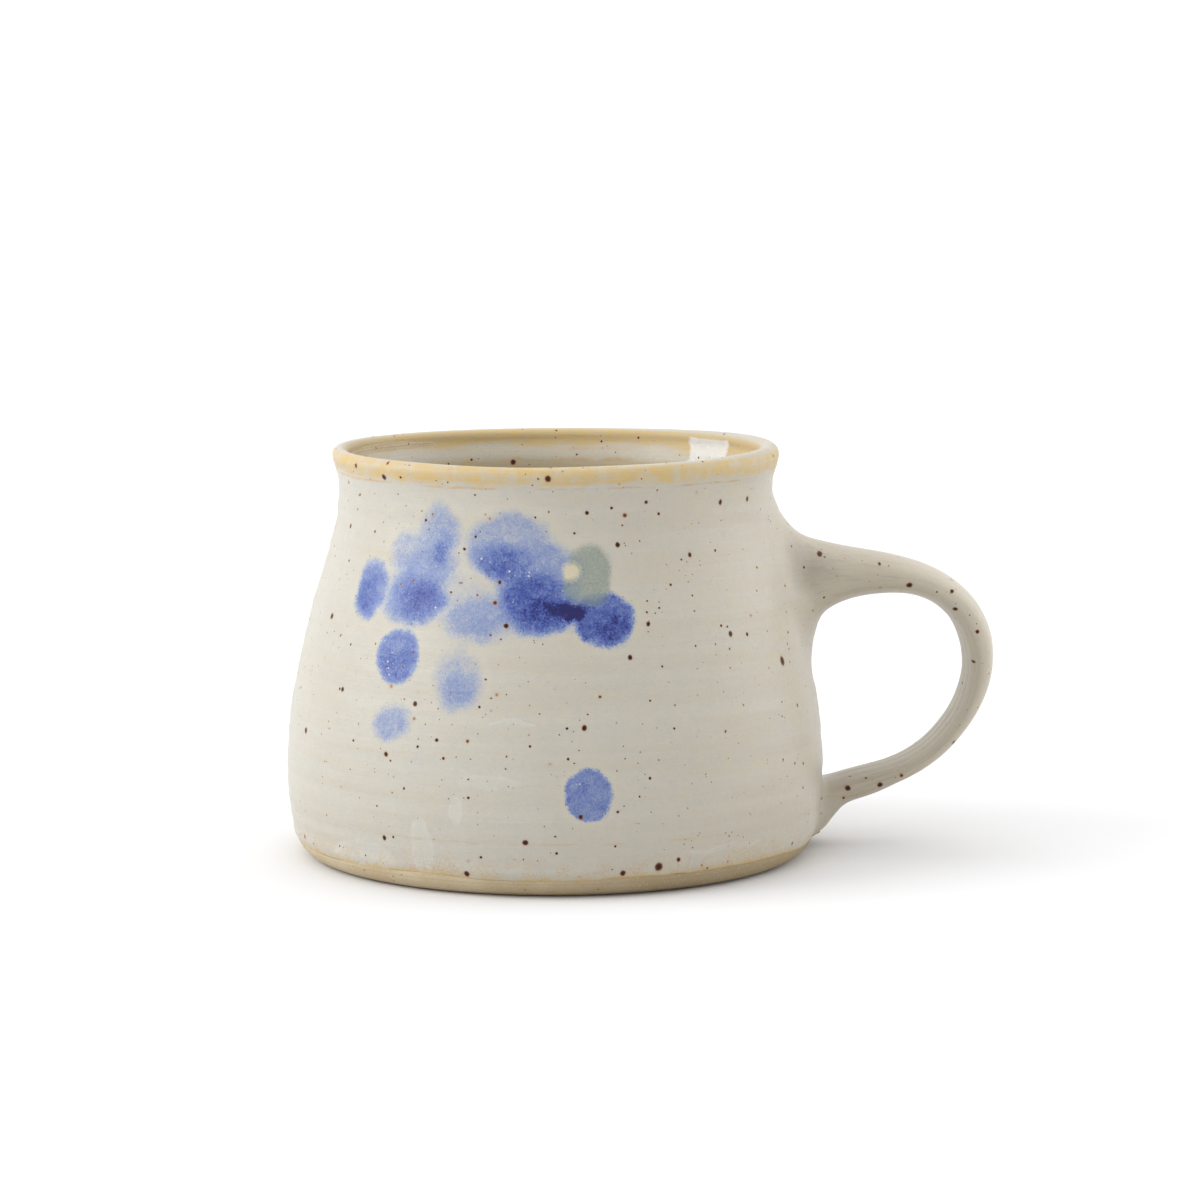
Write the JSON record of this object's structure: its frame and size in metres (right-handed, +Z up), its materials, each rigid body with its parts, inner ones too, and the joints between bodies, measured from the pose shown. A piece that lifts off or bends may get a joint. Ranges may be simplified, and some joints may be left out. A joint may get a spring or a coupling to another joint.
{
  "type": "mug",
  "caption": "Squat wheel-thrown stoneware mug with a round belly, pinched neck, flared lip and a pulled strap handle, for hot drinks.",
  "frame": {"origin": "on the cup's axis, at the plane of the foot ring that the mug stands on", "axes": "+Z up along the cup's axis; +X from the axis out through the middle of the handle; +Y completes a right-handed frame"},
  "size_m": [0.1414, 0.1071, 0.0811],
  "materials": {
    "stoneware_clay": "bare fired buff stoneware with iron specks",
    "joining_slip": "bare fired slip",
    "liner_glaze": "satin, warm oatmeal, speckled",
    "oatmeal_glaze": "satin, off-white, speckled, ochre where it breaks over edges",
    "cobalt_glaze": "satin blue, soft edged"
  },
  "bodies": {
    "root": {"thrown_body": "stoneware_clay", "pulled_handle": "stoneware_clay", "upper_slip": "joining_slip", "lower_slip": "joining_slip", "inside_glaze": "liner_glaze", "outside_glaze": "oatmeal_glaze", "cobalt_splashes": "cobalt_glaze"}
  },
  "joints": []
}
